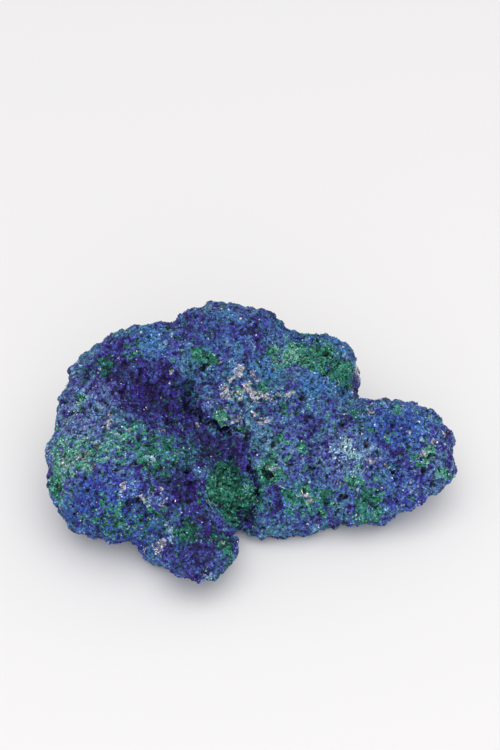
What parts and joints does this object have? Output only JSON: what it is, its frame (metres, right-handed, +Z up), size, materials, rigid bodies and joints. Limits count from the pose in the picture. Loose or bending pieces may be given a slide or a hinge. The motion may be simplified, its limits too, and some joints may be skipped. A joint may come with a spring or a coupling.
{
  "type": "azurite specimen",
  "caption": "Rough lump of blue azurite with green malachite patches, a sparkling granular crust and pale crystal specks, resting on small flats worn on its underside.",
  "frame": {"origin": "middle of the lump's box in X and Y, on the surface that it rests on", "axes": "+X along the lump's longest way, towards its blunt right lobe; -Y towards the side with the foot; +Z up"},
  "size_m": [0.0768, 0.0588, 0.0292],
  "materials": {
    "azurite_crust": "rough granular druse in deep to royal blue, with malachite green patches and fine sparkle"
  },
  "bodies": {
    "root": {"azurite_lump": "azurite_crust"}
  },
  "joints": []
}
